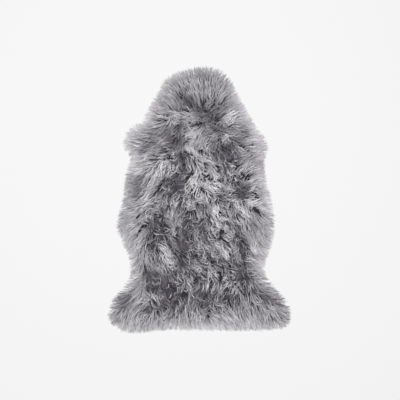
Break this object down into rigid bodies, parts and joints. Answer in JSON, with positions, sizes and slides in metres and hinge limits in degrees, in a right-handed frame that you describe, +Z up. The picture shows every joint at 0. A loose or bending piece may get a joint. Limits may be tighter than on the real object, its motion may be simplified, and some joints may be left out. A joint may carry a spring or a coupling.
{
  "type": "sheepskin rug",
  "caption": "Long-wool sheepskin rug lying flat: one pelt with its natural outline of neck, shoulders and hind legs, tousled grey wool and a soft rim of locks.",
  "frame": {"origin": "on the flat underside, below the middle of the rug's box, wool tips included", "axes": "+Y towards the neck, +X towards the right flank as seen from above, +Z up out of the wool"},
  "size_m": [0.655, 0.95, 0.067],
  "materials": {
    "wool": "long silky grey wool, dark at the roots and pale at the tips",
    "skin": "tanned suede on the underside"
  },
  "bodies": {
    "root": {"sheepskin": "wool"}
  },
  "joints": []
}
